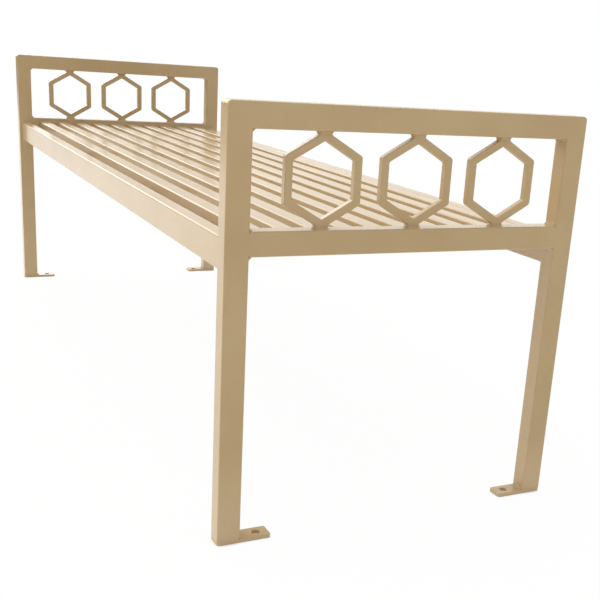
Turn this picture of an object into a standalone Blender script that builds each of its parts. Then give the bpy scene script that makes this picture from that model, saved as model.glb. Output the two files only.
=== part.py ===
"""Backless steel bench with hexagon end panels, modelled piece by piece.

X runs along the seat with the right end at +X, the front faces -Y and Z is up.
The origin is on the floor in the middle of the footprint. Sizes are in metres.
"""

import math

import bmesh
import bpy

# Overall sizes
BENCH_LENGTH = 1.850
BENCH_WIDTH = 0.608
BENCH_HEIGHT = 0.660
SEAT_RAIL_TOP = 0.483

# Rectangular tube of the end frames: its face looks out of the bench's ends
FRAME_FACE = 0.037
FRAME_DEPTH = 0.030
FRAME_WALL = 0.002
FRAME_CORNER = 0.0025

# Side rails, flush with the posts' inner faces
SIDE_RAIL_WIDTH = 0.026
SIDE_RAIL_HEIGHT = 0.050
SIDE_RAIL_WALL = 0.002
SIDE_RAIL_CORNER = 0.0025
SIDE_RAIL_DROP = 0.016

# Slats, spread over the seat with equal gaps and at least the edge gap beside each side rail
SLAT_WIDTH = 0.030
SLAT_HEIGHT = 0.022
SLAT_WALL = 0.0015
SLAT_CORNER = 0.002
SLAT_GAP = 0.0215
SLAT_EDGE_GAP = 0.016
SLAT_DROP = 0.011

# Flat bars that carry the slats between the side rails
STRAP_COUNT = 2
STRAP_WIDTH = 0.038
STRAP_THICKNESS = 0.006
STRAP_EDGE = 0.001

# Hexagons of square bar, standing in the window of each end frame
HEXAGON_ACROSS = 0.121
HEXAGON_GAP = 0.033
HEXAGON_BAR = 0.012
HEXAGON_NECK = 0.020
HEXAGON_EDGE = 0.001

# Foot plates, with one bolt hole in the tongue that runs inwards
FOOT_TONGUE = 0.051
FOOT_THICKNESS = 0.006
FOOT_CORNER = 0.004
FOOT_EDGE = 0.0006
BOLT_HOLE = 0.0135
BOLT_HOLE_FROM_END = 0.020

# Hairline left between pieces that are welded together
WELD_GAP = 0.0003

# Segments in a quarter round and in a whole circle
CORNER_STEPS = 4
CIRCLE_STEPS = 32

# Smallest angle that counts as an edge, and the distance that joins a cap to its sides
EDGE_ANGLE = math.radians(30)
CAP_WELD = 0.00001

# Powder coat
COAT_COLOUR = "#D2BF9C"
COAT_ROUGHNESS = 0.45
COAT_METALLIC = 0.0

# Directions of an extruded outline: its own Z turned to the bench's Y or X
UPRIGHT = (0.0, 0.0, 0.0)
ALONG_Y = (math.radians(-90), 0.0, 0.0)
ALONG_X = (math.radians(90), 0.0, math.radians(90))
HALF_TURN = (0.0, 0.0, math.pi)

# Places that several pieces share
WINDOW_WIDTH = BENCH_WIDTH - 2 * FRAME_FACE
WINDOW_TOP = BENCH_HEIGHT - FRAME_FACE
WINDOW_HEIGHT = WINDOW_TOP - SEAT_RAIL_TOP
INNER_LENGTH = BENCH_LENGTH - 2 * FRAME_DEPTH
SLAT_TOP = SEAT_RAIL_TOP - SLAT_DROP


def linear_colour(code):
    """Turn an sRGB hex code into the linear RGBA that a shader takes."""
    channels = [int(code[i:i + 2], 16) / 255 for i in (1, 3, 5)]
    linear = [c / 12.92 if c <= 0.04045 else ((c + 0.055) / 1.055) ** 2.4 for c in channels]
    return (*linear, 1.0)


def powder_coat(name):
    """Give a piece its own coat of tan powder paint."""
    material = bpy.data.materials.new(f"{name}_coat")
    material.use_nodes = True
    shader = material.node_tree.nodes["Principled BSDF"]
    shader.inputs["Base Color"].default_value = linear_colour(COAT_COLOUR)
    shader.inputs["Roughness"].default_value = COAT_ROUGHNESS
    shader.inputs["Metallic"].default_value = COAT_METALLIC
    return material


def rounded_rectangle(width, height, radius):
    """Corner points of a rectangle about the origin, each corner a quarter round."""
    points = []
    for turn, (side_x, side_y) in enumerate(((1, 1), (-1, 1), (-1, -1), (1, -1))):
        centre_x = side_x * (width / 2 - radius)
        centre_y = side_y * (height / 2 - radius)
        for step in range(CORNER_STEPS + 1):
            angle = (turn + step / CORNER_STEPS) * math.pi / 2
            points.append((centre_x + radius * math.cos(angle), centre_y + radius * math.sin(angle)))
    return points


def circle(diameter, centre_y):
    """Points of a circle on the Y axis of an outline."""
    points = []
    for step in range(CIRCLE_STEPS):
        angle = 2 * math.pi * step / CIRCLE_STEPS
        points.append((diameter / 2 * math.cos(angle), centre_y + diameter / 2 * math.sin(angle)))
    return points


def extruded(name, loops, thickness):
    """Extrude a flat outline, whose inner loops are holes, to a closed mesh about the origin."""
    curve = bpy.data.curves.new(name, "CURVE")
    curve.dimensions = "2D"
    curve.fill_mode = "BOTH"
    curve.extrude = thickness / 2
    for loop in loops:
        spline = curve.splines.new("POLY")
        spline.points.add(len(loop) - 1)
        spline.use_cyclic_u = True
        for point, (x, y) in zip(spline.points, loop):
            point.co = (x, y, 0.0, 1.0)
    outline = bpy.data.objects.new(name, curve)
    bpy.context.scene.collection.objects.link(outline)
    bpy.context.view_layer.update()
    depsgraph = bpy.context.evaluated_depsgraph_get()
    mesh = bpy.data.meshes.new_from_object(outline.evaluated_get(depsgraph))
    mesh.transform(outline.matrix_world)
    bpy.data.objects.remove(outline)
    shape = bmesh.new()
    shape.from_mesh(mesh)
    bmesh.ops.remove_doubles(shape, verts=shape.verts, dist=CAP_WELD)
    bmesh.ops.recalc_face_normals(shape, faces=shape.faces)
    shape.to_mesh(mesh)
    shape.free()
    mesh.name = name
    mesh.shade_smooth()
    mesh.set_sharp_from_angle(angle=EDGE_ANGLE)
    return mesh


def tube(name, width, height, wall, corner, length):
    """A rectangular tube with open ends, lying along Z."""
    outside = rounded_rectangle(width, height, corner)
    bore_corner = max(corner - wall, wall / 4)
    bore = rounded_rectangle(width - 2 * wall, height - 2 * wall, bore_corner)
    return extruded(name, [outside, bore], length)


def mitre(mesh, end):
    """Cut one end of a frame tube at 45 degrees: its -Y face stays long, its +Y face shortens."""
    for vertex in mesh.vertices:
        if vertex.co.z * end > 0:
            vertex.co.z -= end * (vertex.co.y + FRAME_FACE / 2)


def place(name, mesh, location, rotation=UPRIGHT, parent=None):
    """Stand a piece in the bench's collection, painted and named."""
    piece = bpy.data.objects.new(name, mesh.copy())
    piece.data.name = name
    piece.data.materials.clear()
    piece.data.materials.append(powder_coat(name))
    piece.location = location
    piece.rotation_euler = rotation
    piece.parent = parent
    bench.objects.link(piece)
    return piece


def ease_edges(piece, width):
    """Round the cut edges of a bar or plate."""
    bevel = piece.modifiers.new("eased_edges", "BEVEL")
    bevel.width = width
    bevel.segments = 2
    bevel.limit_method = "ANGLE"
    bevel.angle_limit = EDGE_ANGLE


def hexagon_loops():
    """Outline of one hexagon with its necks, and its opening, with Y up.

    The hexagon's points reach the rails above and below, and the necks square them off.
    """
    half_across = HEXAGON_ACROSS / 2
    point = WINDOW_HEIGHT / 2
    shoulder = point / 2
    slope = (point - shoulder) / half_across
    half_neck = HEXAGON_NECK / 2
    neck_end = point - WELD_GAP
    neck_root = point - slope * half_neck
    quarter = [(half_neck, neck_end), (half_neck, neck_root), (half_across, shoulder)]
    outside = mirrored(quarter)
    inner_point = point - HEXAGON_BAR * math.hypot(1, slope)
    inner_half = half_across - HEXAGON_BAR
    inner_shoulder = inner_point - slope * inner_half
    opening = [(0.0, inner_point), (inner_half, inner_shoulder), (inner_half, -inner_shoulder)]
    opening += [(-x, -y) for x, y in opening]
    return [outside, opening]


def mirrored(quarter):
    """Carry a quarter outline, from the top to the right, round all four quarters."""
    right = quarter + [(x, -y) for x, y in reversed(quarter)]
    return right + [(-x, y) for x, y in reversed(right)]


def hexagon_places():
    """Centres of the hexagons across the window, as many as fit with a gap at each side."""
    pitch = HEXAGON_ACROSS + HEXAGON_GAP
    count = int((WINDOW_WIDTH - HEXAGON_GAP) // pitch)
    return [(i - (count - 1) / 2) * pitch for i in range(count)]


def slat_places():
    """Centres of the slats across the seat, as many as fit between the edge gaps."""
    pitch = SLAT_WIDTH + SLAT_GAP
    count = int((WINDOW_WIDTH - 2 * SLAT_EDGE_GAP + SLAT_GAP) // pitch)
    return [(i - (count - 1) / 2) * pitch for i in range(count)]


def post_mesh():
    """A frame tube that stands on its foot plate and is mitred at the top."""
    foot = FOOT_THICKNESS + WELD_GAP
    mesh = tube("post", FRAME_DEPTH, FRAME_FACE, FRAME_WALL, FRAME_CORNER,
                BENCH_HEIGHT - WELD_GAP - foot)
    mitre(mesh, 1)
    return mesh


def arm_rail_mesh():
    """A frame tube mitred at both ends, its long face on top."""
    mesh = tube("arm_rail", FRAME_DEPTH, FRAME_FACE, FRAME_WALL, FRAME_CORNER, BENCH_WIDTH)
    mitre(mesh, 1)
    mitre(mesh, -1)
    return mesh


def foot_plate_mesh():
    """A plate as wide as the post is deep, its bolt hole near the inner end, which is at +Y."""
    length = FRAME_FACE + FOOT_TONGUE
    plate = rounded_rectangle(FRAME_DEPTH, length, FOOT_CORNER)
    hole = circle(BOLT_HOLE, length / 2 - BOLT_HOLE_FROM_END)
    return extruded("foot_plate", [plate, hole], FOOT_THICKNESS)


def end_frame(side_name, side):
    """One end of the bench: posts, rails, hexagons and foot plates on one empty."""
    frame = bpy.data.objects.new(f"{side_name}_end_frame", None)
    frame.location = (side * (BENCH_LENGTH - FRAME_DEPTH) / 2, 0.0, 0.0)
    bench.objects.link(frame)
    post_foot = FOOT_THICKNESS + WELD_GAP
    post_middle = (post_foot + BENCH_HEIGHT - WELD_GAP) / 2
    post_y = (BENCH_WIDTH - FRAME_FACE) / 2
    foot_y = (BENCH_WIDTH - FRAME_FACE - FOOT_TONGUE) / 2
    for row_name, row, turn in (("front", -1, UPRIGHT), ("rear", 1, HALF_TURN)):
        place(f"{side_name}_{row_name}_post", post, (0, row * post_y, post_middle), turn, frame)
        foot = place(f"{side_name}_{row_name}_foot_plate", foot_plate,
                     (0, row * foot_y, FOOT_THICKNESS / 2), turn, frame)
        ease_edges(foot, FOOT_EDGE)
    place(f"{side_name}_arm_rail", arm_rail,
          (0, 0, BENCH_HEIGHT - FRAME_FACE / 2), ALONG_Y, frame)
    place(f"{side_name}_seat_end_rail", seat_end_rail,
          (0, 0, SEAT_RAIL_TOP - FRAME_FACE / 2), ALONG_Y, frame)
    for number, y in enumerate(hexagon_places(), start=1):
        ring = place(f"{side_name}_hexagon_{number}", hexagon,
                     (0, y, SEAT_RAIL_TOP + WINDOW_HEIGHT / 2), ALONG_X, frame)
        ease_edges(ring, HEXAGON_EDGE)


def side_rails():
    """The two deep tubes that run between the posts."""
    mesh = tube("side_rail", SIDE_RAIL_WIDTH, SIDE_RAIL_HEIGHT, SIDE_RAIL_WALL,
                SIDE_RAIL_CORNER, INNER_LENGTH - 2 * WELD_GAP)
    rail_y = (WINDOW_WIDTH + SIDE_RAIL_WIDTH) / 2
    rail_z = SEAT_RAIL_TOP - SIDE_RAIL_DROP - SIDE_RAIL_HEIGHT / 2
    place("front_side_rail", mesh, (0, -rail_y, rail_z), ALONG_X)
    place("rear_side_rail", mesh, (0, rail_y, rail_z), ALONG_X)


def slats():
    """The slats, butted between the two seat end rails."""
    mesh = tube("slat", SLAT_WIDTH, SLAT_HEIGHT, SLAT_WALL, SLAT_CORNER,
                INNER_LENGTH - 2 * WELD_GAP)
    for number, y in enumerate(slat_places(), start=1):
        place(f"slat_{number}", mesh, (0, y, SLAT_TOP - SLAT_HEIGHT / 2), ALONG_X)


def cross_straps():
    """Flat bars under the slats, from one side rail to the other, evenly spread."""
    outline = rounded_rectangle(STRAP_WIDTH, STRAP_THICKNESS, STRAP_EDGE)
    mesh = extruded("cross_strap", [outline], WINDOW_WIDTH - 2 * WELD_GAP)
    strap_z = SLAT_TOP - SLAT_HEIGHT - WELD_GAP - STRAP_THICKNESS / 2
    for number in range(1, STRAP_COUNT + 1):
        x = INNER_LENGTH * (number / (STRAP_COUNT + 1) - 0.5)
        place(f"cross_strap_{number}", mesh, (x, 0, strap_z), ALONG_Y)


for leftover in list(bpy.data.objects):
    bpy.data.objects.remove(leftover)

bench = bpy.data.collections.new("bench")
bpy.context.scene.collection.children.link(bench)

post = post_mesh()
arm_rail = arm_rail_mesh()
seat_end_rail = tube("seat_end_rail", FRAME_DEPTH, FRAME_FACE, FRAME_WALL, FRAME_CORNER,
                     WINDOW_WIDTH - 2 * WELD_GAP)
hexagon = extruded("hexagon", hexagon_loops(), HEXAGON_BAR)
foot_plate = foot_plate_mesh()

end_frame("right", 1)
end_frame("left", -1)
side_rails()
slats()
cross_straps()
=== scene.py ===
"""A backless steel bench with hexagon end panels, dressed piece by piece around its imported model."""
import math

import bmesh
import bpy
from mathutils import Matrix, Vector


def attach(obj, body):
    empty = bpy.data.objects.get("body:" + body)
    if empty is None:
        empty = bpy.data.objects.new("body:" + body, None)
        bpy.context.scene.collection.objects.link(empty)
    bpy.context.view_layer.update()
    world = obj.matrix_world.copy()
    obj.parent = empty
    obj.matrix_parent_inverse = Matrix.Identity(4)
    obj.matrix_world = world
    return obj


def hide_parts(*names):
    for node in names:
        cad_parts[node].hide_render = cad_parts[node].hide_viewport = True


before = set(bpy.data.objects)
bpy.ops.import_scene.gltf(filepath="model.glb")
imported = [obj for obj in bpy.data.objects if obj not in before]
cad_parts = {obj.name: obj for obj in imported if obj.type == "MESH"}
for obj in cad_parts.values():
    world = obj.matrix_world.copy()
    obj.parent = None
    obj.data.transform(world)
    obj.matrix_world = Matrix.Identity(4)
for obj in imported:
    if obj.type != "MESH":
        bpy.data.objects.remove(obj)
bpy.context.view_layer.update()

# Camera: it stands beyond the bench's right end, a little to the front and just above the arm
# rails, and looks down along the seat. Its shift puts the bench where the photograph frames it.
CAMERA_PLACE = (2.17997, -0.74713, 0.72661)
CAMERA_TURN = (72.6042, -4.1582, 62.1659)
CAMERA_LENS = 57.876
CAMERA_SHIFT = (-0.13097, 0.09980)
SENSOR_WIDTH = 36.0
NEAREST_SEEN = 0.01

camera_data = bpy.data.cameras.new("camera")
camera_data.sensor_fit = "HORIZONTAL"
camera_data.sensor_width = SENSOR_WIDTH
camera_data.lens = CAMERA_LENS
camera_data.shift_x, camera_data.shift_y = CAMERA_SHIFT
camera_data.clip_start = NEAREST_SEEN
camera = bpy.data.objects.new("camera", camera_data)
camera.location = CAMERA_PLACE
camera.rotation_euler = [math.radians(angle) for angle in CAMERA_TURN]
bpy.context.scene.collection.objects.link(camera)
bpy.context.scene.camera = camera
bpy.context.scene.view_settings.view_transform = "Standard"


# Studio: a white floor that runs out to a white surround, so nothing but the bench shows. In its
# reflections the bench finds a white backdrop behind it that fades upwards, white floor under it
# as far as its near end, and a dim band at the horizon. Each stop is a place and a strength.
FLOOR_SIZE = 4.0
FLOOR_COLOUR = "#F0EFED"
WHITE = "#FFFFFF"
FLOOR_GLOW = 0.955
FLOOR_IN_GLOSS = ((-2.5, 1.6), (0.5, 1.2))
NEAR_END_IN_GLOSS = ((0.95, 1.0), (1.25, 0.1))
CREVICE_SIZE = 0.015
CREVICE_CLOSED = 0.45
CREVICE_OPEN = 0.75
SURROUND_STRENGTH = 0.72
BACKDROP_IN_GLOSS = ((0.10, 1.62), (0.20, 1.1))
BACKDROP_TOWARDS = (-0.87, 0.49, 0.0)
BACKDROP_EDGES = ((0.65, 0.0), (0.74, 1.0))
HORIZON_BAND = ((0.045, 0.0), (0.075, 1.0))


def linear(code):
    """Turn an sRGB hex code into the linear colour that a shader takes."""
    channels = [int(code[i:i + 2], 16) / 255 for i in (1, 3, 5)]
    return (*[c / 12.92 if c <= 0.04045 else ((c + 0.055) / 1.055) ** 2.4 for c in channels], 1.0)


def node(tree, kind, settings=None, links=None):
    """Add one shader node, set its values and link its inputs.

    Inputs go by name or number: 2 and 3 are the ends of a mix of numbers, 6 and 7 of colours.
    """
    made = tree.nodes.new(kind)
    for name, value in (settings or {}).items():
        if isinstance(name, int) or name in made.inputs:
            made.inputs[name].default_value = value
        else:
            setattr(made, name, value)
    for name, socket in (links or {}).items():
        tree.links.new(socket, made.inputs[name])
    return made


def fade(tree, value, stops):
    """Fade from one strength to another as a value runs from one place to the next."""
    (start, first), (end, last) = stops
    ramp = node(tree, "ShaderNodeMapRange",
                {"interpolation_type": "SMOOTHSTEP", "From Min": start, "From Max": end,
                 "To Min": first, "To Max": last}, {"Value": value})
    return ramp.outputs[0]


def matt_white_floor():
    """Matt white paint, which reads white to the eye and in gloss and still takes a faint shadow.

    Little light gets into a crevice, so the floor that shows through a bolt hole stays dim.
    """
    paint = bpy.data.materials.new("matt_white_floor")
    paint.use_nodes = True
    tree = paint.node_tree
    tree.nodes.clear()
    ray = node(tree, "ShaderNodeLightPath")
    seen = node(tree, "ShaderNodeMath", {"operation": "MAXIMUM"},
                {0: ray.outputs["Is Camera Ray"], 1: ray.outputs["Is Glossy Ray"]})
    crevice = node(tree, "ShaderNodeAmbientOcclusion", {"Distance": CREVICE_SIZE})
    lit = node(tree, "ShaderNodeMapRange",
               {"From Min": CREVICE_CLOSED, "From Max": CREVICE_OPEN, "To Max": FLOOR_GLOW},
               {"Value": crevice.outputs["AO"]})
    share = node(tree, "ShaderNodeMath", {"operation": "MULTIPLY"},
                 {0: seen.outputs[0], 1: lit.outputs[0]})
    place = node(tree, "ShaderNodeTexCoord").outputs["Object"]
    along = node(tree, "ShaderNodeSeparateXYZ", None, {0: place}).outputs["X"]
    in_gloss = node(tree, "ShaderNodeMath", {"operation": "MULTIPLY"},
                    {0: fade(tree, along, FLOOR_IN_GLOSS), 1: fade(tree, along, NEAR_END_IN_GLOSS)})
    strength = node(tree, "ShaderNodeMix", {2: 1.0},
                    {0: ray.outputs["Is Glossy Ray"], 3: in_gloss.outputs[0]})
    matt = node(tree, "ShaderNodeBsdfDiffuse", {"Color": linear(FLOOR_COLOUR)})
    glow = node(tree, "ShaderNodeEmission", {"Color": linear(WHITE)}, {"Strength": strength.outputs[0]})
    mixed = node(tree, "ShaderNodeMixShader", None,
                 {0: share.outputs[0], 1: matt.outputs[0], 2: glow.outputs[0]})
    node(tree, "ShaderNodeOutputMaterial", None, {"Surface": mixed.outputs[0]})
    return paint


shape = bmesh.new()
bmesh.ops.create_grid(shape, x_segments=1, y_segments=1, size=FLOOR_SIZE)
floor_mesh = bpy.data.meshes.new("floor")
shape.to_mesh(floor_mesh)
shape.free()
floor = bpy.data.objects.new("floor", floor_mesh)
bpy.context.scene.collection.objects.link(floor)
floor_mesh.materials.append(matt_white_floor())

world = bpy.data.worlds.new("white_surround")
bpy.context.scene.world = world
world.use_nodes = True
sky = world.node_tree
sky.nodes.clear()
ray = node(sky, "ShaderNodeLightPath")
towards = node(sky, "ShaderNodeTexCoord").outputs["Generated"]
facing = node(sky, "ShaderNodeVectorMath", {"operation": "DOT_PRODUCT", 1: BACKDROP_TOWARDS},
              {0: towards}).outputs["Value"]
upwards = node(sky, "ShaderNodeSeparateXYZ", None, {0: towards}).outputs["Z"]
height = node(sky, "ShaderNodeMath", {"operation": "ABSOLUTE"}, {0: upwards}).outputs[0]
lit_part = node(sky, "ShaderNodeMath", {"operation": "MULTIPLY"},
                {0: fade(sky, facing, BACKDROP_EDGES), 1: fade(sky, height, HORIZON_BAND)})
reflected = node(sky, "ShaderNodeMath", {"operation": "MULTIPLY"},
                 {0: lit_part.outputs[0], 1: fade(sky, height, BACKDROP_IN_GLOSS)})
in_gloss = node(sky, "ShaderNodeMix", {2: SURROUND_STRENGTH},
                {0: ray.outputs["Is Glossy Ray"], 3: reflected.outputs[0]})
strength = node(sky, "ShaderNodeMix", {3: 1.0},
                {0: ray.outputs["Is Camera Ray"], 2: in_gloss.outputs[0]})
surround = node(sky, "ShaderNodeBackground", {"Color": linear(WHITE)}, {"Strength": strength.outputs[0]})
node(sky, "ShaderNodeOutputWorld", None, {"Surface": surround.outputs[0]})


# Lamps: four wide softboxes at a plain level. One hangs overhead, one stands in front of the bench
# and one faces its right end. The last stands low beyond its left end, and its light draws the
# bright lines along the round edges of the tubes. Each has its direction, spread and strength.
SOFTBOXES = {
    "overhead": ((-0.3, -0.05, 0.95), 70.0, 0.95),
    "front_left": ((-0.42, -0.75, 0.52), 60.0, 0.98),
    "right": ((0.75, 0.5, 0.43), 60.0, 0.15),
    "far_left": ((-0.94, -0.11, 0.32), 35.0, 0.66),
}
LAMP_COLOUR = "#FFFDFA"

for lamp_name, (lamp_from, lamp_spread, lamp_strength) in SOFTBOXES.items():
    lamp_data = bpy.data.lights.new(lamp_name, "SUN")
    lamp_data.energy = lamp_strength
    lamp_data.angle = math.radians(lamp_spread)
    lamp_data.color = linear(LAMP_COLOUR)[:3]
    lamp = bpy.data.objects.new(lamp_name, lamp_data)
    lamp.rotation_euler = Vector(lamp_from).to_track_quat("Z", "Y").to_euler()
    bpy.context.scene.collection.objects.link(lamp)


# Posts: four uprights of 37 by 30 mm cold-formed steel tube with 2 mm walls, mitred at the top
# where they meet the arm rail. The outside of the mitre is ground round and flush before coating.
BODY = "root"
ENDS = {"right": 1, "left": -1}
ROWS = {"front": -1, "rear": 1}
X_AXIS, Y_AXIS, Z_AXIS = 0, 1, 2

HALF_LENGTH = 0.925
HALF_WIDTH = 0.304
BENCH_TOP = 0.660
FRAME_FACE = 0.037
FRAME_DEPTH = 0.030
FRAME_WALL = 0.002
FRAME_CORNER = 0.0026
FOOT_THICKNESS = 0.006
INNER_X = HALF_LENGTH - FRAME_DEPTH
INNER_Y = HALF_WIDTH - FRAME_FACE
CORNER_SEGMENTS = 6
GROUND_RADIUS = 0.0065
GROUND_CUTS = 5
SAME_PLACE = 1e-6

COAT_COLOUR = "#C1A880"
COAT_THICK = "#B99F76"
COAT_ROUGHNESS = 0.24
COAT_IOR = 1.56
GLOSS_SPREAD = (-0.03, 0.04)
PEEL_WAVE = 0.0035
PEEL_DEPTH = 0.000012
SPECK_SIZE = 0.0009
SPECK_RANGE = (0.35, 0.65)
SPECK_SHARE = 0.25
CLOUD_SIZE = 0.14
CLOUD_RANGE = (0.4, 0.85)
SHARP_ANGLE = math.radians(40)


def polyester_powder_coat(name, colour, thick, roughness, peel):
    """Baked polyester powder on steel: a semi-gloss skin with the faint waves of orange peel.

    Waves of 3.5 mm catch the light unevenly, fine specks of 1 mm break up the gloss, and broad
    clouds of slightly deeper tan show where the powder lies thicker.
    """
    powder = bpy.data.materials.new(name)
    powder.use_nodes = True
    tree = powder.node_tree
    tree.nodes.clear()
    place = node(tree, "ShaderNodeTexCoord").outputs["Object"]
    clouds = node(tree, "ShaderNodeTexNoise",
                  {"Scale": 1 / CLOUD_SIZE, "Detail": 3.0, "Roughness": 0.5}, {"Vector": place})
    specks = node(tree, "ShaderNodeTexNoise",
                  {"Scale": 1 / SPECK_SIZE, "Detail": 1.0, "Roughness": 0.5}, {"Vector": place})
    waves = node(tree, "ShaderNodeTexNoise",
                 {"Scale": 1 / PEEL_WAVE, "Detail": 2.0, "Roughness": 0.45}, {"Vector": place})
    blotch = node(tree, "ShaderNodeMath", {"operation": "MULTIPLY_ADD", 1: SPECK_SHARE},
                  {0: specks.outputs["Fac"], 2: clouds.outputs["Fac"]})
    spread = node(tree, "ShaderNodeMapRange",
                  {"From Min": CLOUD_RANGE[0], "From Max": CLOUD_RANGE[1]}, {"Value": blotch.outputs[0]})
    tone = node(tree, "ShaderNodeMix", {"data_type": "RGBA", 6: linear(colour), 7: linear(thick)},
                {0: spread.outputs[0]})
    gloss = node(tree, "ShaderNodeMapRange",
                 {"From Min": SPECK_RANGE[0], "From Max": SPECK_RANGE[1],
                  "To Min": roughness + GLOSS_SPREAD[0], "To Max": roughness + GLOSS_SPREAD[1]},
                 {"Value": specks.outputs["Fac"]})
    skin = node(tree, "ShaderNodeBump", {"Strength": 1.0, "Distance": peel},
                {"Height": waves.outputs["Fac"]})
    surface = node(tree, "ShaderNodeBsdfPrincipled", {"IOR": COAT_IOR, "Metallic": 0.0},
                   {"Base Color": tone.outputs[2], "Roughness": gloss.outputs[0],
                    "Normal": skin.outputs[0]})
    node(tree, "ShaderNodeOutputMaterial", None, {"Surface": surface.outputs[0]})
    return powder


def finish_piece(name, shape, material, *stands_for):
    """Turn a shape into a smooth shaded piece of the bench that stands for its CAD nodes."""
    bmesh.ops.remove_doubles(shape, verts=shape.verts, dist=SAME_PLACE)
    bmesh.ops.recalc_face_normals(shape, faces=shape.faces)
    mesh = bpy.data.meshes.new(name)
    shape.to_mesh(mesh)
    shape.free()
    mesh.shade_smooth()
    mesh.set_sharp_from_angle(angle=SHARP_ANGLE)
    mesh.materials.append(material)
    piece = bpy.data.objects.new(name, mesh)
    bpy.context.scene.collection.objects.link(piece)
    flat_faces = piece.modifiers.new("flat_faces", "WEIGHTED_NORMAL")
    flat_faces.keep_sharp = True
    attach(piece, BODY)
    if stands_for:
        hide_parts(*stands_for)


def steel_tube(low, high, along, wall, corner):
    """A rectangular tube that fills a box, open at both ends of one axis, its corners formed round."""
    low, high = Vector(low), Vector(high)
    shape = bmesh.new()
    bmesh.ops.create_cube(shape, size=1.0)
    bmesh.ops.scale(shape, vec=high - low, verts=shape.verts)
    bmesh.ops.translate(shape, vec=(low + high) / 2, verts=shape.verts)
    ends = [face for face in shape.faces if abs(face.normal[along]) > 0.5]
    bmesh.ops.delete(shape, geom=ends, context="FACES_ONLY")
    corners = [edge for edge in shape.edges
               if abs(edge.verts[0].co[along] - edge.verts[1].co[along]) > SAME_PLACE]
    bmesh.ops.bevel(shape, geom=corners, offset=corner, offset_type="OFFSET", segments=CORNER_SEGMENTS,
                    profile=0.5, affect="EDGES", material=-1)
    bmesh.ops.recalc_face_normals(shape, faces=shape.faces)
    bmesh.ops.solidify(shape, geom=shape.faces[:], thickness=wall)
    return shape


def saw(shape, point, away):
    """Saw a tube through at a plane, drop what lies away from it and close the cut wall."""
    geometry = shape.verts[:] + shape.edges[:] + shape.faces[:]
    bmesh.ops.bisect_plane(shape, geom=geometry, plane_co=point, plane_no=away, clear_outer=True)
    cut = [edge for edge in shape.edges if edge.is_boundary]
    bmesh.ops.bridge_loops(shape, edges=cut)


def grind_corner(shape, along):
    """Round the outer corners of a frame mitre, as a grinder leaves them.

    Cuts across the tube give it points near the corner. Those points lie on squares about the
    round's centre, and each square is drawn in to a circle.
    """
    for step in range(1, GROUND_CUTS + 1):
        back = GROUND_RADIUS * step / GROUND_CUTS
        places = [BENCH_TOP - back] if along == Z_AXIS else [HALF_WIDTH - back, back - HALF_WIDTH]
        for place in places:
            point = Vector((0, 0, 0))
            point[along] = place
            across = Vector((0, 0, 0))
            across[along] = 1
            geometry = shape.verts[:] + shape.edges[:] + shape.faces[:]
            bmesh.ops.bisect_plane(shape, geom=geometry, plane_co=point, plane_no=across)
    for vertex in shape.verts:
        out = abs(vertex.co.y) - (HALF_WIDTH - GROUND_RADIUS)
        up = vertex.co.z - (BENCH_TOP - GROUND_RADIUS)
        if out > 0 and up > 0:
            pull = 1 - max(out, up) / math.hypot(out, up)
            vertex.co.y -= math.copysign(out * pull, vertex.co.y)
            vertex.co.z -= up * pull


coat = polyester_powder_coat("tan_polyester_powder_coat", COAT_COLOUR, COAT_THICK,
                             COAT_ROUGHNESS, PEEL_DEPTH)
for cad_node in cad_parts.values():
    cad_node.data.materials.clear()
    cad_node.data.materials.append(coat)

for end_name, end in ENDS.items():
    for row_name, row in ROWS.items():
        xs = sorted((end * INNER_X, end * HALF_LENGTH))
        ys = sorted((row * INNER_Y, row * HALF_WIDTH))
        post = steel_tube((xs[0], ys[0], FOOT_THICKNESS), (xs[1], ys[1], BENCH_TOP), Z_AXIS,
                          FRAME_WALL, FRAME_CORNER)
        saw(post, (0, row * HALF_WIDTH, BENCH_TOP), (0, -row, 1))
        grind_corner(post, Z_AXIS)
        finish_piece(f"{end_name}_{row_name}_post_tube", post, coat, f"{end_name}_{row_name}_post")


# Arm rails: the same tube laid across the top of each end, mitred at both ends to the posts. The
# outer corners are ground round together with those of the posts, so the two run into one curve.
for end_name, end in ENDS.items():
    xs = sorted((end * INNER_X, end * HALF_LENGTH))
    arm_rail = steel_tube((xs[0], -HALF_WIDTH, BENCH_TOP - FRAME_FACE), (xs[1], HALF_WIDTH, BENCH_TOP),
                          Y_AXIS, FRAME_WALL, FRAME_CORNER)
    for row in ROWS.values():
        saw(arm_rail, (0, row * HALF_WIDTH, BENCH_TOP), (0, row, -1))
    grind_corner(arm_rail, Y_AXIS)
    finish_piece(f"{end_name}_arm_rail_tube", arm_rail, coat, f"{end_name}_arm_rail")


# Seat end rails: the same tube again, cut square and welded between the posts at seat height. The
# slats butt against their inner faces, and the hexagons stand on their tops.
SEAT_RAIL_TOP = 0.483
SEAT_RAIL_BOTTOM = SEAT_RAIL_TOP - FRAME_FACE

for end_name, end in ENDS.items():
    xs = sorted((end * INNER_X, end * HALF_LENGTH))
    end_rail = steel_tube((xs[0], -INNER_Y, SEAT_RAIL_BOTTOM), (xs[1], INNER_Y, SEAT_RAIL_TOP),
                          Y_AXIS, FRAME_WALL, FRAME_CORNER)
    finish_piece(f"{end_name}_seat_end_rail_tube", end_rail, coat, f"{end_name}_seat_end_rail")


# Frame welds: fillets laid across the frame's depth in each inside corner of its two windows,
# with the ripple of the weld pool under the coat. Their coat is a darker copy of the frame's,
# painted shade for the corners they fill.
LENGTHWISE = (1, 0, 0)
CROSSWISE = (0, 1, 0)
UP = (0, 0, 1)
DOWN = (0, 0, -1)

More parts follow.
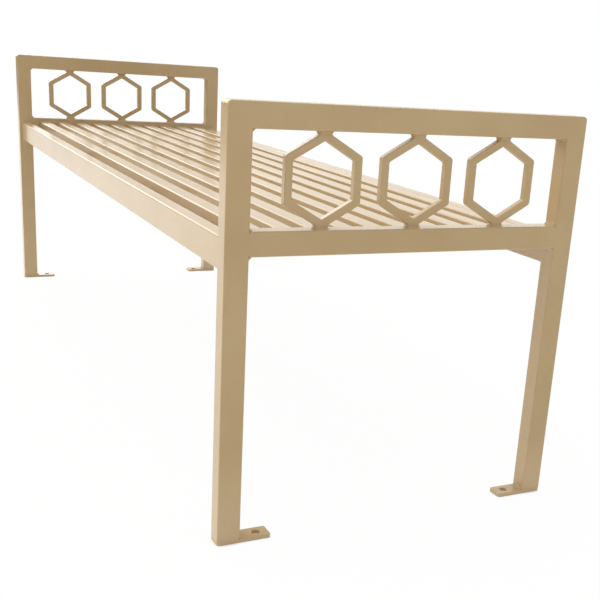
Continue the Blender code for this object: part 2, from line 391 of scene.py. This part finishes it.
RIPPLE_PITCH = 0.0018
RIPPLE_STATIONS = 4
RIPPLE_RISE = 0.05
BEAD_SIDES = 8
LEAST_STATIONS = 8
BEAD_BLUNT = 0.0003
FLAT_FULLNESS = 0.5
HOLLOW_FULLNESS = 0.42
WINDOW_TOP = BENCH_TOP - FRAME_FACE
CORNER_WELD = 0.0056
UNDER_RAIL_WELD = 0.0068
FACE_INSET = 0.0015
# Painted shade: the welds' tans are a little darker than the coat's, standing in for the shade in the
# corners they fill.
WELD_PAINTED_SHADE_COLOUR = "#BFA67D"
WELD_PAINTED_SHADE_THICK = "#B69C72"
WELD_ROUGHNESS = 0.30
WELD_PEEL = 0.00002


def weld_bead(length, first, second, crown):
    """One bead along X, with ripples and with round ends that stop just short of a point.

    Its section runs from the root out to the first toe, over the crown and down to the second.
    """
    shape = bmesh.new()
    ring = bmesh.ops.create_circle(shape, cap_ends=False, segments=BEAD_SIDES, radius=1.0)["verts"]
    ring[0].co = (0, 0, 0)
    for index, vertex in enumerate(ring[1:]):
        t = index / (BEAD_SIDES - 2)
        over = Vector(first) * (1 - t) ** 2 + Vector(crown) * 2 * t * (1 - t) + Vector(second) * t ** 2
        vertex.co = (0, over.x, over.y)
    steps = max(LEAST_STATIONS, round(length / RIPPLE_PITCH) * RIPPLE_STATIONS)
    end_reach = max(Vector(first).length, Vector(second).length)
    rim = shape.edges[:]
    size = 1.0
    for step in range(steps + 1):
        from_end = min(step, steps - step) / steps * length
        short_of_full = max(0.0, 1 - (from_end + BEAD_BLUNT) / end_reach)
        round_off = math.sqrt(1 - short_of_full ** 2)
        ripple = 1 + RIPPLE_RISE * math.cos(2 * math.pi * step / RIPPLE_STATIONS)
        if step:
            grown = bmesh.ops.extrude_edge_only(shape, edges=rim)["geom"]
            ring = [item for item in grown if isinstance(item, bmesh.types.BMVert)]
            rim = [item for item in grown if isinstance(item, bmesh.types.BMEdge)]
            bmesh.ops.translate(shape, vec=(length / steps, 0, 0), verts=ring)
        growth = round_off * ripple / size
        size = round_off * ripple
        bmesh.ops.scale(shape, vec=(1, growth, growth), verts=ring)
    bmesh.ops.holes_fill(shape, edges=shape.edges[:], sides=0)
    bead = bpy.data.meshes.new("bead")
    shape.to_mesh(bead)
    shape.free()
    return bead


def fillet(length, out, up, fullness=HOLLOW_FULLNESS):
    """A bead that fills a corner: out along one face, up the other."""
    return weld_bead(length, (out, 0), (0, up), (out * fullness, up * fullness))


def lay(shape, bead, root, run, out, up):
    """Lay a copy of a bead from its root, along run, with its toes on the faces towards out and up."""
    before = len(shape.verts)
    shape.from_mesh(bead)
    shape.verts.ensure_lookup_table()
    turn = Matrix((run, out, up)).transposed().to_4x4()
    bmesh.ops.transform(shape, matrix=Matrix.Translation(root) @ turn, verts=shape.verts[before:])


# Every weld on the bench gets this darker copy of the coat, which paints shade into the inside corners.
coat_with_painted_weld_shade = polyester_powder_coat("tan_powder_coat_with_painted_weld_shade", WELD_PAINTED_SHADE_COLOUR, WELD_PAINTED_SHADE_THICK,
                                  WELD_ROUGHNESS, WELD_PEEL)
depth_run = FRAME_DEPTH - 2 * FACE_INSET
corner_bead = fillet(depth_run, CORNER_WELD, CORNER_WELD, FLAT_FULLNESS)
under_bead = fillet(depth_run, UNDER_RAIL_WELD, UNDER_RAIL_WELD, FLAT_FULLNESS)
for end_name, end in ENDS.items():
    welds = bmesh.new()
    start = min(end * INNER_X, end * HALF_LENGTH) + FACE_INSET
    for row in ROWS.values():
        inward = (0, -row, 0)
        lay(welds, corner_bead, (start, row * INNER_Y, WINDOW_TOP), LENGTHWISE, inward, DOWN)
        lay(welds, corner_bead, (start, row * INNER_Y, SEAT_RAIL_TOP), LENGTHWISE, inward, UP)
        lay(welds, under_bead, (start, row * INNER_Y, SEAT_RAIL_BOTTOM), LENGTHWISE, inward, DOWN)
    finish_piece(f"{end_name}_frame_welds", welds, coat_with_painted_weld_shade)


# Ground welds: where a seat end rail butts against a post, the groove between the post's round
# corner and the rail's face is filled with weld and ground flush, so no joint shows in the coat.
GROUND_OVERLAP = 0.0012
GROUND_PROUD = 0.00004


def ground_weld(shape, low, high):
    """Add a block of weld between two corners, whichever way round they are given."""
    low, high = Vector(low), Vector(high)
    block = bmesh.ops.create_cube(shape, size=1.0)["verts"]
    bmesh.ops.scale(shape, vec=[abs(high[axis] - low[axis]) for axis in range(3)], verts=block)
    bmesh.ops.translate(shape, vec=(low + high) / 2, verts=block)


for end_name, end in ENDS.items():
    ground_welds = bmesh.new()
    for row in ROWS.values():
        for face, side in ((end * HALF_LENGTH, end), (end * INNER_X, -end)):
            on_rail = (face + side * GROUND_PROUD, row * (INNER_Y - GROUND_OVERLAP),
                       SEAT_RAIL_BOTTOM + FRAME_CORNER)
            in_post = (face - side * FRAME_CORNER, row * (INNER_Y + FRAME_CORNER),
                       SEAT_RAIL_TOP - FRAME_CORNER)
            ground_weld(ground_welds, on_rail, in_post)
    finish_piece(f"{end_name}_ground_welds", ground_welds, coat)


# Hexagons: rings of 12 mm square bar, 121 mm across the flats, welded up from six cut lengths and
# ground round at their side joints. A short block squares off the top and bottom points, and a
# heavy fillet ties it to each rail.
HEXAGON_COUNT = 3
HEXAGON_BAR = 0.012
HEXAGON_EDGE = 0.0014
HEXAGON_JOINT = 0.0035
HEXAGON_HALF_NECK = 0.010
HEXAGON_PITCH = 0.154
HEXAGON_SLOPE = math.tan(math.radians(30))
HEXAGON_POINT = (WINDOW_TOP - SEAT_RAIL_TOP) / 2
HEXAGON_MIDDLE = (WINDOW_TOP + SEAT_RAIL_TOP) / 2
NECK_ROOT = HEXAGON_POINT - HEXAGON_SLOPE * HEXAGON_HALF_NECK
NECK_WELD_OUT = 0.0072
NECK_WELD_UP = 0.0042
NECK_SIDE_WELD = 0.0046
NECK_FULLNESS = 0.36
EDGE_ANGLE = math.radians(25)
EASED_SEGMENTS = 3
JOINT_SEGMENTS = 4
STRAIGHT_ANGLE = math.radians(1)


def ease_edges(shape, width):
    """Round every edge of a bar that turns by more than the edge angle."""
    edges = [edge for edge in shape.edges
             if len(edge.link_faces) == 2 and edge.calc_face_angle() > EDGE_ANGLE]
    bmesh.ops.bevel(shape, geom=edges, offset=width, offset_type="OFFSET", segments=EASED_SEGMENTS,
                    profile=0.5, affect="EDGES", clamp_overlap=True, material=-1)


def hexagon_ring():
    """The ring about the origin, with X across, Y up and Z through the bar."""
    shape = bmesh.new()
    bmesh.ops.create_circle(shape, cap_ends=True, segments=6, radius=HEXAGON_POINT)
    inside = shape.faces[:]
    bmesh.ops.inset_individual(shape, faces=inside, thickness=HEXAGON_BAR, use_even_offset=True)
    bmesh.ops.delete(shape, geom=inside, context="FACES_ONLY")
    for way in (1, -1):
        geometry = shape.verts[:] + shape.edges[:] + shape.faces[:]
        bmesh.ops.bisect_plane(shape, geom=geometry, plane_co=(0, way * NECK_ROOT, 0),
                               plane_no=(0, way, 0), clear_outer=True)
        flat = [edge for edge in shape.edges
                if all(abs(vertex.co.y - way * NECK_ROOT) < SAME_PLACE for vertex in edge.verts)]
        grown = bmesh.ops.extrude_edge_only(shape, edges=flat)["geom"]
        top = [item for item in grown if isinstance(item, bmesh.types.BMVert)]
        bmesh.ops.translate(shape, vec=(0, way * (HEXAGON_POINT - NECK_ROOT), 0), verts=top)
    bmesh.ops.recalc_face_normals(shape, faces=shape.faces)
    bmesh.ops.dissolve_limit(shape, angle_limit=STRAIGHT_ANGLE, verts=shape.verts, edges=shape.edges)
    grown = bmesh.ops.extrude_face_region(shape, geom=shape.faces[:])["geom"]
    front = [item for item in grown if isinstance(item, bmesh.types.BMVert)]
    bmesh.ops.translate(shape, vec=(0, 0, HEXAGON_BAR), verts=front)
    bmesh.ops.translate(shape, vec=(0, 0, -HEXAGON_BAR / 2), verts=shape.verts)
    bmesh.ops.recalc_face_normals(shape, faces=shape.faces)
    outer = max(vertex.co.x for vertex in shape.verts)
    joints = [edge for edge in shape.edges
              if all(abs(abs(vertex.co.x) - outer) < SAME_PLACE for vertex in edge.verts)
              and abs(edge.verts[0].co.z - edge.verts[1].co.z) > SAME_PLACE]
    bmesh.ops.bevel(shape, geom=joints, offset=HEXAGON_JOINT, offset_type="OFFSET",
                    segments=JOINT_SEGMENTS, profile=0.5, affect="EDGES", material=-1)
    ease_edges(shape, HEXAGON_EDGE)
    return shape


neck_bead = fillet(2 * HEXAGON_HALF_NECK, NECK_WELD_OUT, NECK_WELD_UP, NECK_FULLNESS)
neck_side_bead = fillet(HEXAGON_BAR, NECK_SIDE_WELD, NECK_SIDE_WELD, NECK_FULLNESS)
stand_up = Matrix(((0, 0, 1), (1, 0, 0), (0, 1, 0))).to_4x4()
for end_name, end in ENDS.items():
    x = end * (HALF_LENGTH - FRAME_DEPTH / 2)
    for number in range(1, HEXAGON_COUNT + 1):
        y = (number - (HEXAGON_COUNT + 1) / 2) * HEXAGON_PITCH
        ring = hexagon_ring()
        place = Matrix.Translation((x, y, HEXAGON_MIDDLE))
        bmesh.ops.transform(ring, matrix=place @ stand_up, verts=ring.verts)
        finish_piece(f"{end_name}_hexagon_{number}_ring", ring, coat, f"{end_name}_hexagon_{number}")
        welds = bmesh.new()
        for z, up in ((SEAT_RAIL_TOP, UP), (WINDOW_TOP, DOWN)):
            for way in (1, -1):
                lay(welds, neck_bead, (x + way * HEXAGON_BAR / 2, y - HEXAGON_HALF_NECK, z),
                    CROSSWISE, (way, 0, 0), up)
                lay(welds, neck_side_bead, (x - HEXAGON_BAR / 2, y + way * HEXAGON_HALF_NECK, z),
                    LENGTHWISE, (0, way, 0), up)
        finish_piece(f"{end_name}_hexagon_{number}_welds", welds, coat_with_painted_weld_shade)


# Foot plates: 6 mm flat bar, 88 by 30 mm, cut with rounded corners and drilled for an anchor bolt
# on the tongue that runs inwards. A fillet crosses the tongue and a low bead closes the other sides.
FOOT_TONGUE = 0.051
FOOT_LENGTH = FRAME_FACE + FOOT_TONGUE
FOOT_CORNER = 0.004
FOOT_EDGE = 0.0008
RIM_ANGLE = math.radians(60)
BOLT_RADIUS = 0.00675
BOLT_FROM_END = 0.020
BOLT_SEGMENTS = 40
FOOT_WELD = 0.005
FLUSH_WELD_HALF = 0.0018
FLUSH_WELD_RISE = 0.0007
FLUSH_WELD_INSET = 2 * FACE_INSET


def foot_plate(end, row):
    """One drilled plate in its place, its upper and lower rims eased."""
    shape = bmesh.new()
    bmesh.ops.create_grid(shape, x_segments=1, y_segments=1, size=0.5)
    bmesh.ops.scale(shape, vec=(FRAME_DEPTH, FOOT_LENGTH, 1), verts=shape.verts)
    bmesh.ops.bevel(shape, geom=shape.verts[:], offset=FOOT_CORNER, offset_type="OFFSET",
                    segments=CORNER_SEGMENTS, profile=0.5, affect="VERTICES", material=-1)
    bmesh.ops.delete(shape, geom=shape.faces[:], context="FACES_ONLY")
    hole = bmesh.ops.create_circle(shape, cap_ends=False, segments=BOLT_SEGMENTS, radius=BOLT_RADIUS)
    bmesh.ops.translate(shape, vec=(0, FOOT_LENGTH / 2 - BOLT_FROM_END, 0), verts=hole["verts"])
    bmesh.ops.triangle_fill(shape, use_beauty=True, edges=shape.edges[:])
    grown = bmesh.ops.extrude_face_region(shape, geom=shape.faces[:])["geom"]
    top = [item for item in grown if isinstance(item, bmesh.types.BMVert)]
    bmesh.ops.translate(shape, vec=(0, 0, FOOT_THICKNESS), verts=top)
    bmesh.ops.recalc_face_normals(shape, faces=shape.faces)
    rims = [edge for edge in shape.edges
            if len(edge.link_faces) == 2 and edge.calc_face_angle() > RIM_ANGLE]
    bmesh.ops.bevel(shape, geom=rims, offset=FOOT_EDGE, offset_type="OFFSET",
                    segments=EASED_SEGMENTS, profile=0.5, affect="EDGES", material=-1)
    x = end * (HALF_LENGTH - FRAME_DEPTH / 2)
    y = row * (HALF_WIDTH - FOOT_LENGTH / 2)
    turn = Matrix.Rotation(math.pi if row > 0 else 0, 4, "Z")
    bmesh.ops.transform(shape, matrix=Matrix.Translation((x, y, 0)) @ turn, verts=shape.verts)
    return shape


foot_bead = fillet(depth_run, FOOT_WELD, FOOT_WELD)
flush_section = ((-FLUSH_WELD_HALF, 0), (FLUSH_WELD_HALF, 0), (0, FLUSH_WELD_RISE))
flush_long = weld_bead(FRAME_FACE - 2 * FLUSH_WELD_INSET, *flush_section)
flush_short = weld_bead(FRAME_DEPTH - 2 * FLUSH_WELD_INSET, *flush_section)
for end_name, end in ENDS.items():
    for row_name, row in ROWS.items():
        name = f"{end_name}_{row_name}"
        finish_piece(f"{name}_foot_plate_drilled", foot_plate(end, row), coat, f"{name}_foot_plate")
        welds = bmesh.new()
        low_x = min(end * INNER_X, end * HALF_LENGTH)
        low_y = min(row * INNER_Y, row * HALF_WIDTH)
        lay(welds, foot_bead, (low_x + FACE_INSET, row * INNER_Y, FOOT_THICKNESS),
            LENGTHWISE, (0, -row, 0), UP)
        lay(welds, flush_short, (low_x + FLUSH_WELD_INSET, row * HALF_WIDTH, FOOT_THICKNESS),
            LENGTHWISE, UP, (0, row, 0))
        for side in (1, -1):
            face_x = low_x + (FRAME_DEPTH if side > 0 else 0)
            lay(welds, flush_long, (face_x, low_y + FLUSH_WELD_INSET, FOOT_THICKNESS),
                CROSSWISE, UP, (side, 0, 0))
        finish_piece(f"{name}_foot_welds", welds, coat_with_painted_weld_shade)


# Side rails: two 50 by 26 mm tubes that run the bench's length between the posts, a little lower
# than the slats. Fillets close them to the posts and the end rails, and the flush side is ground.
SIDE_RAIL_WIDTH = 0.026
SIDE_RAIL_TOP = 0.467
SIDE_RAIL_BOTTOM = 0.417
SIDE_RAIL_CORNER = 0.0028
SIDE_RAIL_WELD = 0.0035

rail_top_bead = fillet(SIDE_RAIL_WIDTH - 2 * FACE_INSET, SIDE_RAIL_WELD, SIDE_RAIL_WELD)
rail_side_bead = fillet(SIDE_RAIL_TOP - SIDE_RAIL_BOTTOM - 2 * FACE_INSET, SIDE_RAIL_WELD, SIDE_RAIL_WELD)
rail_inner_bead = fillet(SIDE_RAIL_TOP - SEAT_RAIL_BOTTOM - 2 * FACE_INSET, SIDE_RAIL_WELD, SIDE_RAIL_WELD)
for row_name, row in ROWS.items():
    outer_y = row * (INNER_Y + SIDE_RAIL_WIDTH)
    ys = sorted((row * INNER_Y, outer_y))
    rail = steel_tube((-INNER_X, ys[0], SIDE_RAIL_BOTTOM), (INNER_X, ys[1], SIDE_RAIL_TOP), X_AXIS,
                      FRAME_WALL, SIDE_RAIL_CORNER)
    finish_piece(f"{row_name}_side_rail_tube", rail, coat, f"{row_name}_side_rail")
    welds = bmesh.new()
    ground_welds = bmesh.new()
    for end in ENDS.values():
        along = (-end, 0, 0)
        for z, up in ((SIDE_RAIL_TOP, UP), (SIDE_RAIL_BOTTOM, DOWN)):
            lay(welds, rail_top_bead, (end * INNER_X, ys[0] + FACE_INSET, z), CROSSWISE, along, up)
        lay(welds, rail_side_bead, (end * INNER_X, outer_y, SIDE_RAIL_BOTTOM + FACE_INSET),
            UP, along, (0, row, 0))
        lay(welds, rail_inner_bead, (end * INNER_X, row * INNER_Y, SEAT_RAIL_BOTTOM + FACE_INSET),
            UP, along, (0, -row, 0))
        on_rail = (end * (INNER_X - GROUND_OVERLAP), row * (INNER_Y - GROUND_PROUD),
                   SIDE_RAIL_BOTTOM + GROUND_OVERLAP)
        in_post = (end * (INNER_X + FRAME_CORNER), row * (INNER_Y + FRAME_CORNER), SEAT_RAIL_BOTTOM)
        ground_weld(ground_welds, on_rail, in_post)
    finish_piece(f"{row_name}_side_rail_welds", welds, coat_with_painted_weld_shade)
    finish_piece(f"{row_name}_side_rail_ground_welds", ground_welds, coat)


# Slats: ten 30 by 22 mm tubes laid the long way of the seat, butted to the seat end rails 11 mm
# below their tops and welded over the top and down both sides.
SLAT_COUNT = 10
SLAT_WIDTH = 0.030
SLAT_HEIGHT = 0.022
SLAT_PITCH = 0.0515
SLAT_TOP = 0.472
SLAT_BOTTOM = SLAT_TOP - SLAT_HEIGHT
SLAT_WALL = 0.0015
SLAT_CORNER = 0.0027
SLAT_WELD = 0.0024


def slat_middle(number):
    """How far across the seat the middle of a slat lies."""
    return (number - (SLAT_COUNT + 1) / 2) * SLAT_PITCH


slat_top_bead = fillet(SLAT_WIDTH - 2 * FACE_INSET, SLAT_WELD, SLAT_WELD)
slat_side_bead = fillet(SLAT_HEIGHT - 2 * FACE_INSET, SLAT_WELD, SLAT_WELD)
for number in range(1, SLAT_COUNT + 1):
    y = slat_middle(number)
    slat = steel_tube((-INNER_X, y - SLAT_WIDTH / 2, SLAT_BOTTOM),
                      (INNER_X, y + SLAT_WIDTH / 2, SLAT_TOP), X_AXIS, SLAT_WALL, SLAT_CORNER)
    finish_piece(f"slat_{number}_tube", slat, coat, f"slat_{number}")
    welds = bmesh.new()
    for end in ENDS.values():
        along = (-end, 0, 0)
        lay(welds, slat_top_bead, (end * INNER_X, y - SLAT_WIDTH / 2 + FACE_INSET, SLAT_TOP),
            CROSSWISE, along, UP)
        for side in (1, -1):
            lay(welds, slat_side_bead, (end * INNER_X, y + side * SLAT_WIDTH / 2, SLAT_BOTTOM + FACE_INSET),
                UP, along, (0, side, 0))
    finish_piece(f"slat_{number}_welds", welds, coat_with_painted_weld_shade)


# Cross straps: two 38 by 6 mm flat bars under the slats, from one side rail to the other, with a
# short tack on both edges under each slat and a bead along each end.
STRAP_HALF_WIDTH = 0.019
STRAP_THICKNESS = 0.006
STRAP_BOTTOM = SLAT_BOTTOM - STRAP_THICKNESS
STRAP_EDGE = 0.0009
STRAP_PLACES = (-INNER_X / 3, INNER_X / 3)
TACK_LENGTH = 0.016
TACK_LEG = 0.003

tack = fillet(TACK_LENGTH, TACK_LEG, TACK_LEG)
strap_end_bead = fillet(2 * STRAP_HALF_WIDTH - 2 * FACE_INSET, TACK_LEG, TACK_LEG)
for number, x in enumerate(STRAP_PLACES, start=1):
    strap = bmesh.new()
    bmesh.ops.create_cube(strap, size=1.0)
    bmesh.ops.scale(strap, vec=(2 * STRAP_HALF_WIDTH, 2 * INNER_Y, STRAP_THICKNESS), verts=strap.verts)
    bmesh.ops.translate(strap, vec=(x, 0, SLAT_BOTTOM - STRAP_THICKNESS / 2), verts=strap.verts)
    ease_edges(strap, STRAP_EDGE)
    finish_piece(f"cross_strap_{number}_bar", strap, coat, f"cross_strap_{number}")
    welds = bmesh.new()
    for row in ROWS.values():
        lay(welds, strap_end_bead, (x - STRAP_HALF_WIDTH + FACE_INSET, row * INNER_Y, STRAP_BOTTOM),
            LENGTHWISE, (0, -row, 0), DOWN)
    for slat_number in range(1, SLAT_COUNT + 1):
        tack_start = slat_middle(slat_number) - TACK_LENGTH / 2
        for side in (1, -1):
            lay(welds, tack, (x + side * STRAP_HALF_WIDTH, tack_start, SLAT_BOTTOM),
                CROSSWISE, (side, 0, 0), DOWN)
    finish_piece(f"cross_strap_{number}_tacks", welds, coat_with_painted_weld_shade)
